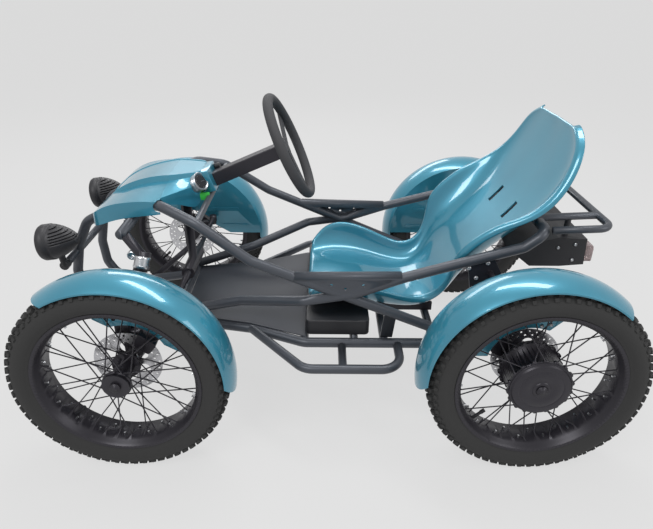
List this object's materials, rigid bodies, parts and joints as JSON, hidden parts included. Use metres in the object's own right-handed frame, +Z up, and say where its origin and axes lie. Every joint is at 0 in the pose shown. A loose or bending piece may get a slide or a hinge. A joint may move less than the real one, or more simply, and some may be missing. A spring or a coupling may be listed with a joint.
{
  "type": "electric quadricycle",
  "caption": "Open one-seat electric quadricycle with tube frame, bucket seat, spoked wide-tyre wheels under arched fenders, round lamps and steering wheel",
  "frame": {"origin": "on the ground, midway between the axles, on the centre plane", "axes": "+X to the rear, +Y to the driver's right, +Z up"},
  "size_m": [1.5897, 0.988, 0.8857],
  "materials": {
    "frame_paint": "satin dark grey powder coat on the tubes",
    "body_paint": "metallic teal gloss on seat, fenders and hood",
    "black_plastic": "matte black plastic",
    "black_metal": "satin black painted metal",
    "tyre_rubber": "matte black tyre rubber",
    "grip_rubber": "soft dark grey grip",
    "disc_steel": "brushed steel",
    "alloy": "machined aluminium",
    "lamp_glass": "clear lens",
    "tail_lens": "red lens"
  },
  "bodies": {
    "chassis": {"side_frame_right": "frame_paint", "side_frame_left": "frame_paint", "floor_frame": "frame_paint", "front_frame": "frame_paint", "rear_frame": "frame_paint", "step_right": "frame_paint", "step_left": "frame_paint", "floor_pan": "black_metal", "battery_box": "black_plastic", "seat": "body_paint", "seat_mount": "black_metal", "hood": "body_paint", "gauge": "alloy", "control_knob": "black_plastic", "steering_column": "black_metal", "steering_gear": "alloy", "front_arm_right": "black_metal", "front_arm_left": "black_metal", "strut_right": "black_metal", "strut_left": "black_metal", "rear_calipers": "black_metal", "rear_axle": "black_metal", "rear_plates": "black_metal", "rear_tray": "black_plastic", "tail_lamps": "tail_lens", "headlamps": "black_plastic", "headlamp_lenses": "lamp_glass", "rear_fender_right": "body_paint", "rear_fender_left": "body_paint"},
    "steering": {"steering_wheel": "grip_rubber"},
    "tie_rod": {"tie_rod": "black_metal"},
    "knuckle_right": {"knuckle_right": "black_metal", "front_caliper_right": "black_metal", "front_fender_right": "body_paint"},
    "front_wheel_right": {"front_tyre_right": "tyre_rubber", "front_wheel_right": "black_metal", "front_disc_right": "disc_steel"},
    "rear_wheel_right": {"rear_tyre_right": "tyre_rubber", "rear_wheel_right": "black_metal", "rear_disc_right": "disc_steel"},
    "knuckle_left": {"knuckle_left": "black_metal", "front_caliper_left": "black_metal", "front_fender_left": "body_paint"},
    "front_wheel_left": {"front_tyre_left": "tyre_rubber", "front_wheel_left": "black_metal", "front_disc_left": "disc_steel"},
    "rear_wheel_left": {"rear_tyre_left": "tyre_rubber", "rear_wheel_left": "black_metal", "rear_disc_left": "disc_steel"}
  },
  "joints": [
    {"name": "steering", "type": "hinge", "parent": "chassis", "child": "steering", "pos_m": [-0.111, 0, 0.74], "axis": [0.9157, 0, 0.402], "range_deg": [-45, 45]},
    {"name": "tie_rod_slide", "type": "slide", "parent": "chassis", "child": "tie_rod", "axis": [0, 1, 0], "range_m": [-0.031, 0.031]},
    {"name": "steer_right", "type": "hinge", "parent": "chassis", "child": "knuckle_right", "pos_m": [-0.52, 0.341, 0.275], "axis": [0, 0, 1], "range_deg": [-18.5, 18.5]},
    {"name": "steer_left", "type": "hinge", "parent": "chassis", "child": "knuckle_left", "pos_m": [-0.52, -0.341, 0.275], "axis": [0, 0, 1], "range_deg": [-18.5, 18.5]},
    {"name": "spin_front_right", "type": "hinge", "parent": "knuckle_right", "child": "front_wheel_right", "pos_m": [-0.52, 0.44, 0.275], "axis": [0, 1, 0], "continuous": true},
    {"name": "spin_rear_right", "type": "hinge", "parent": "chassis", "child": "rear_wheel_right", "pos_m": [0.52, 0.44, 0.275], "axis": [0, 1, 0], "continuous": true},
    {"name": "spin_front_left", "type": "hinge", "parent": "knuckle_left", "child": "front_wheel_left", "pos_m": [-0.52, -0.44, 0.275], "axis": [0, 1, 0], "continuous": true},
    {"name": "spin_rear_left", "type": "hinge", "parent": "chassis", "child": "rear_wheel_left", "pos_m": [0.52, -0.44, 0.275], "axis": [0, 1, 0], "continuous": true}
  ],
  "couplings": [
    {"joint": "steer_right", "follows": "steering", "ratio": 0.4},
    {"joint": "steer_left", "follows": "steering", "ratio": 0.4},
    {"joint": "tie_rod_slide", "follows": "steering", "m_per_rad": 0.038}
  ]
}
